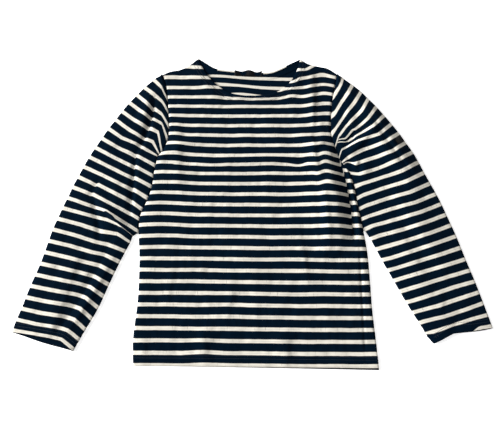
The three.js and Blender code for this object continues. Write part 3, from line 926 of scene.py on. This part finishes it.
def sleeve_surface(cut, around, stripe):
    """Places of the tube, from the share round it and the stripe."""
    sections, across, side = cut["sections"], cut["across"], cut["side"]
    closed = stripe < cut["underarm"]
    on_top = around <= TOP_END
    on_fold = (around > TOP_END) & (around < FOLD_END)
    on_seam = around > INNER_EDGE
    top_share = np.clip(1 - around / TOP_END, 0, 1)
    low_share = np.clip((around - FOLD_END) / (INNER_EDGE - FOLD_END), 0, 1)
    share = np.where(on_top, top_share, low_share)
    flat = section_points(sections, across, np.where(on_top, share, 0), stripe)
    outer = section_points(sections, across, np.zeros(len(stripe)), stripe)
    inner = section_points(sections, across, np.ones(len(stripe)), stripe)

    # The inner edge meets the body: it is never further in than the body's own edge.
    edge = cut["body_edge"]
    touching = np.interp(inner[:, 1], edge[:, 1], edge[:, 0]) + side * SLEEVE_SEAM
    near = (inner[:, 1] > edge[0, 1]) & (side * (touching - inner[:, 0]) > -SEAM_REACH)
    moved = np.where(near, touching - inner[:, 0], 0)
    inner[:, 0] += moved
    flat[:, 0] += np.where(on_top, moved * fade(share, *SEAM_PART), 0)

    # The layer below is plain and comes out a little at the cuff.
    below = outer + (inner - outer) * share[:, None]
    peek = cut["peek"] * np.exp(-((share - cut["peek_place"]) / PEEK_SPREAD) ** 2) * swell(share)
    peek *= 1 - fade(stripe, *PEEK_STRIPES)
    below += peek[:, None] * np.array([[side * PEEK_COURSE[0], PEEK_COURSE[1]]])
    flat = np.where(on_top[:, None], flat, below)

    # The layer on top has the folds.
    x, y = flat[:, 0], flat[:, 1]
    seam_height = np.where(closed, SLEEVE_EDGE, FLAT_SEAM)
    rise = SLEEVE_EDGE + (seam_height - SLEEVE_EDGE) * share
    loft = SLEEVE_LOFT + relief(cut["folds"], x, y)
    for row in SLEEVE_RUMPLES:
        loft += rumple(x, y, *row)
    height = np.where(on_top, np.clip(rise + swell(share) * loft, FLAT_SEAM, None), 0)

    # The outer fold and the inner edge are half rounds, the armhole's edge is nearly flat.
    radius = SLEEVE_EDGE / 2
    inward = inner - outer
    inward /= np.maximum(np.linalg.norm(inward, axis=1), 1e-6)[:, None]
    turn = np.pi * np.clip((around - TOP_END) / (FOLD_END - TOP_END), 0, 1)
    fold = outer + inward * (radius * (1 - np.sin(turn)))[:, None]
    flat = np.where(on_fold[:, None], fold, flat)
    height = np.where(on_fold, radius * (1 + np.cos(turn)), height)
    back_turn = np.pi * np.clip((around - INNER_EDGE) / (1 - INNER_EDGE), 0, 1)
    bulge = np.where(closed, radius, ARMHOLE_BULGE) * (1 - np.sin(back_turn))
    flat = np.where(on_seam[:, None], inner - inward * bulge[:, None], flat)
    height = np.where(on_seam, seam_height / 2 * (1 - np.cos(back_turn)), height)
    return np.column_stack([flat, height])


def make_sleeve(node, cut):
    """One sleeve from its cut, with its stripes on the UV map."""
    first, last = cut["sections"][0][0], cut["sections"][-1][0]

    def place(u, v):
        stripe = first + (last - first) * np.interp(v, *SLEEVE_ROWS)
        points = sleeve_surface(cut, u, stripe)
        x, y = points[:, 0], points[:, 1]
        turned = 1 - fade(stripe, *CUFF_BAND)
        bias = cut["cuff_bias"] * (1 - fade(u, *BIAS_AROUND)) * (1 - fade(stripe, *BIAS_STRIPES))
        bias -= INSIDE_SHIFT * fade(u, *INSIDE_AROUND) * (1 - fade(stripe, *INSIDE_STRIPES))
        above = u < FOLD_MIDDLE
        slip = np.where(above, slipped(cut["tucks"], x, y), 0)
        knitted = np.where(above, gathered(cut["gathers"], x, y, stripe), stripe)
        level = (knitted + bias) * STRIPE_PERIOD - slip
        return points, np.column_stack([u * SLEEVE_ROUND, level]), turned

    cloth, turned = cloth_grid(*SLEEVE_GRID, place)
    if cut["side"] < 0:
        bmesh.ops.reverse_faces(cloth, faces=cloth.faces)
    surfaces[node] = BVHTree.FromBMesh(cloth)
    piece = finish_cloth(node + "_cloth", cloth, turned, jersey, CLOTH, TURNED)
    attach(piece, "root")
    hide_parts(node)


def body_edge(side, armhole):
    """Points of the body's side and armhole from its hem up, for the sleeve to meet."""
    steps = np.linspace(0, 1, 200)
    return np.vstack([side(steps), armhole(steps)[1:]])


# The underarm is the stripe at which the tube opens into the armhole.
right_cut = {
    "side": -1,
    "sections": SECTIONS_RIGHT,
    "across": ACROSS_RIGHT,
    "folds": SLEEVE_RIGHT_FOLDS,
    "tucks": SLEEVE_RIGHT_TUCKS,
    "gathers": SLEEVE_RIGHT_GATHERS,
    "body_edge": body_edge(side_right, armhole_right),
    "underarm": 19,
    "peek": 2,
    "peek_place": 0.5,
    "cuff_bias": 0,
}
left_cut = {
    "side": 1,
    "sections": SECTIONS_LEFT,
    "across": ACROSS_LEFT,
    "folds": SLEEVE_LEFT_FOLDS,
    "tucks": SLEEVE_LEFT_TUCKS,
    "gathers": SLEEVE_LEFT_GATHERS,
    "body_edge": body_edge(side_left, armhole_left),
    "underarm": 18,
    "peek": 3,
    "peek_place": 0.1,
    "cuff_bias": 0.42,
}
make_sleeve("sleeve_right", right_cut)
make_sleeve("sleeve_left", left_cut)


# Sewing
# Navy thread. A twin needle sews the turned edge of the neck, hem and cuffs in two rows of short
# stitches, which pull a small ditch into the jersey.
STITCH_PITCH = 2.8 * MM
STITCH_SIZE = (2.6 * MM, 1.1 * MM, 0.6 * MM)
HEM_ROWS = (15 * MM, 20 * MM)
CUFF_ROWS = (13 * MM, 18 * MM)
CLEAR_OF_CLOTH = 50 * MM


def thread_material():
    """Spun thread with a slight change of tone."""
    material = bpy.data.materials.new("navy thread")
    material.use_nodes = True
    tree = material.node_tree
    shader = tree.nodes["Principled BSDF"]
    place = tree.nodes.new("ShaderNodeTexCoord")
    spun = blur_noise(tree, place.outputs["Object"], 400, 1)
    dark, light = (0.004, 0.008, 0.016, 1), (0.010, 0.016, 0.028, 1)
    tree.links.new(mix_colour(tree, spun, dark, light), shader.inputs["Base Color"])
    shader.inputs["Roughness"].default_value = 0.6
    shader.inputs["Specular IOR Level"].default_value = 0.15
    return material


def sew(surface, line, offset, from_above=True):
    """A row of stitches on a surface, beside a line at its left."""
    thread = bmesh.new()
    length = np.linalg.norm(np.diff(line(np.linspace(0, 1, 200)), axis=0), axis=1).sum()
    count = int(length / STITCH_PITCH)
    shares = (np.arange(count) + 0.5) / count
    step = 0.002
    ahead = line(np.clip(shares + step, 0, 1)) - line(np.clip(shares - step, 0, 1))
    ahead /= np.linalg.norm(ahead, axis=1)[:, None]
    aside = np.column_stack([-ahead[:, 1], ahead[:, 0]])
    needle = -1 if from_above else 1
    for (x, y), (dir_x, dir_y) in zip(line(shares) + offset * aside, ahead):
        start = Vector((x, y, -needle * CLEAR_OF_CLOTH))
        hit, normal, _, _ = surface.ray_cast(start, Vector((0, 0, needle)))
        if hit is None:
            continue
        up = normal if normal.z * needle < 0 else -normal
        forward = Vector((dir_x, dir_y, 0))
        forward = (forward - up * forward.dot(up)).normalized()
        turn = Matrix((forward, up.cross(forward), up)).transposed().to_4x4()
        size = Matrix.Diagonal((*(side / 2 for side in STITCH_SIZE), 1))
        matrix = Matrix.Translation(hit) @ turn @ size
        bmesh.ops.create_uvsphere(thread, u_segments=6, v_segments=4, radius=1, matrix=matrix)
    return thread


def sewn_piece(name, rows):
    """One piece of all the stitches of some rows."""
    data = bpy.data.meshes.new(name)
    joined_rows = bmesh.new()
    for row in rows:
        thread = sew(*row)
        thread.to_mesh(data)
        thread.free()
        joined_rows.from_mesh(data)
    for face in joined_rows.faces:
        face.smooth = True
    joined_rows.to_mesh(data)
    joined_rows.free()
    data.materials.append(navy_thread)
    piece = bpy.data.objects.new(name, data)
    bpy.context.scene.collection.objects.link(piece)
    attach(piece, "root")


def reversed_line(line):
    """The same line read from its other end, so that its left is its other side."""
    return lambda share: line(1 - share)


def cuff_line(cut):
    """The edge of a cuff, with the sleeve at its left."""
    numbers = cut["sections"][0][1:]
    line = smooth_line(list(zip(numbers[::2], numbers[1::2])))
    return line if cut["side"] < 0 else reversed_line(line)


navy_thread = thread_material()
sewn_piece("neck_stitches", [
    *((surfaces["front"], reversed_line(neck_front), row) for row in NEEDLE_ROWS),
    *((surfaces["back"], reversed_line(neck_back), row) for row in NEEDLE_ROWS),
])
sewn_piece("hem_stitches", [
    *((surfaces["front"], hem, row) for row in HEM_ROWS),
    *((surfaces["back"], hem, row, False) for row in HEM_ROWS),
])
sewn_piece("cuff_stitches", [
    (surfaces[node], cuff_line(cut), row, from_above)
    for node, cut in (("sleeve_right", right_cut), ("sleeve_left", left_cut))
    for row in CUFF_ROWS
    for from_above in (True, False)
])


# Labels
# Two small pieces of dark woven satin, both bare. The wide one is sewn inside the back neck and
# waves a little, the small one lies round the outer fold of the left upper arm.
LABEL_GRID = (48, 16)
LABEL_CLOTH = 0.5 * MM
LABEL_ENDS = 0.505 * MM
WEFT_PITCH = 0.7 * MM
WARP_PITCH = 0.5 * MM
NECK_LABEL_PLACE = (-9 * MM, 300 * MM)
NECK_LABEL_SIZE = (62 * MM, 13 * MM)
NECK_LABEL_TILT = -0.16
NECK_LABEL_HEIGHT = 3.2 * MM
NECK_LABEL_RISE = 0.8 * MM
NECK_LABEL_HELD = 0.35
ARM_LABEL_ACROSS = (0.15, 0.012)
ARM_LABEL_STRIPES = (17.19, 17.81)
ARM_LABEL_SHOWS = (21 * MM, 14 * MM)
ARM_LABEL_LIFT = 0.7 * MM

# The neck label waves up and down, and its loose edge to and fro. Columns: size, count, start.
NECK_LABEL_WAVES = (2.2 * MM, 1.9, 0.15)
NECK_LABEL_SWAY = (1.6 * MM, 1.6, 0.5)


def satin_material():
    """Dark woven satin on the cut's UV map, with painted sheen in lighter blotches."""
    material = bpy.data.materials.new("dark woven satin")
    material.use_nodes = True
    tree = material.node_tree
    shader = tree.nodes["Principled BSDF"]
    cut = tree.nodes.new("ShaderNodeUVMap")
    cut.uv_map = "cut"
    parts = tree.nodes.new("ShaderNodeSeparateXYZ")
    tree.links.new(cut.outputs["UV"], parts.inputs[0])
    weft = calc(tree, "SINE", calc(tree, "MULTIPLY", parts.outputs["X"], 2 * math.pi / WEFT_PITCH))
    warp = calc(tree, "SINE", calc(tree, "MULTIPLY", parts.outputs["Y"], 2 * math.pi / WARP_PITCH))
    weave = calc(tree, "MULTIPLY", weft, warp)
    # The lighter blotches in the satin's colour are painted sheen.
    painted_sheen = blur_noise(tree, cut.outputs["UV"], 90, 2)
    dark, light = (0.001, 0.001, 0.002, 1), (0.010, 0.011, 0.012, 1)
    tree.links.new(mix_colour(tree, painted_sheen, dark, light), shader.inputs["Base Color"])
    bump = tree.nodes.new("ShaderNodeBump")
    bump.inputs["Strength"].default_value = 0.3
    bump.inputs["Distance"].default_value = 0.0002
    tree.links.new(weave, bump.inputs["Height"])
    tree.links.new(bump.outputs["Normal"], shader.inputs["Normal"])
    shader.inputs["Roughness"].default_value = 0.38
    shader.inputs["Specular IOR Level"].default_value = 0.04
    return material


def make_label(node, place):
    """One label of bare satin in its place."""
    cloth, turned = cloth_grid(*LABEL_GRID, place)
    piece = finish_cloth(node + "_cloth", cloth, turned, satin, LABEL_CLOTH, LABEL_ENDS)
    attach(piece, "root")
    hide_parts(node)


def waves(along, size, count, start):
    """Even waves along a strip."""
    return size * np.sin(2 * np.pi * (count * along + start))


def neck_label_place(u, v):
    """Places of the wide label, sewn on along its lower edge."""
    width, depth = NECK_LABEL_SIZE
    x = NECK_LABEL_PLACE[0] + (u - 0.5) * width
    y = NECK_LABEL_PLACE[1] + (v - 0.5) * depth + NECK_LABEL_TILT * (u - 0.5) * depth
    y += waves(u, *NECK_LABEL_SWAY) * v
    height = NECK_LABEL_HEIGHT + waves(u, *NECK_LABEL_WAVES) * (NECK_LABEL_HELD + (1 - NECK_LABEL_HELD) * v)
    height += NECK_LABEL_RISE * v
    return np.column_stack([x, y, height]), np.column_stack([u * width, v * depth]), np.zeros(len(u))


def arm_label_place(u, v):
    """Places of the small label, on the top of the left sleeve beside its outer fold."""
    share = ARM_LABEL_ACROSS[0] + (ARM_LABEL_ACROSS[1] - ARM_LABEL_ACROSS[0]) * u
    stripe = ARM_LABEL_STRIPES[0] + (ARM_LABEL_STRIPES[1] - ARM_LABEL_STRIPES[0]) * v
    points = sleeve_surface(left_cut, TOP_END * (1 - share), stripe)
    points[:, 2] += ARM_LABEL_LIFT
    width, depth = ARM_LABEL_SHOWS
    return points, np.column_stack([u * width, v * depth]), np.zeros(len(u))


satin = satin_material()
make_label("neck_label", neck_label_place)
make_label("sleeve_label", arm_label_place)
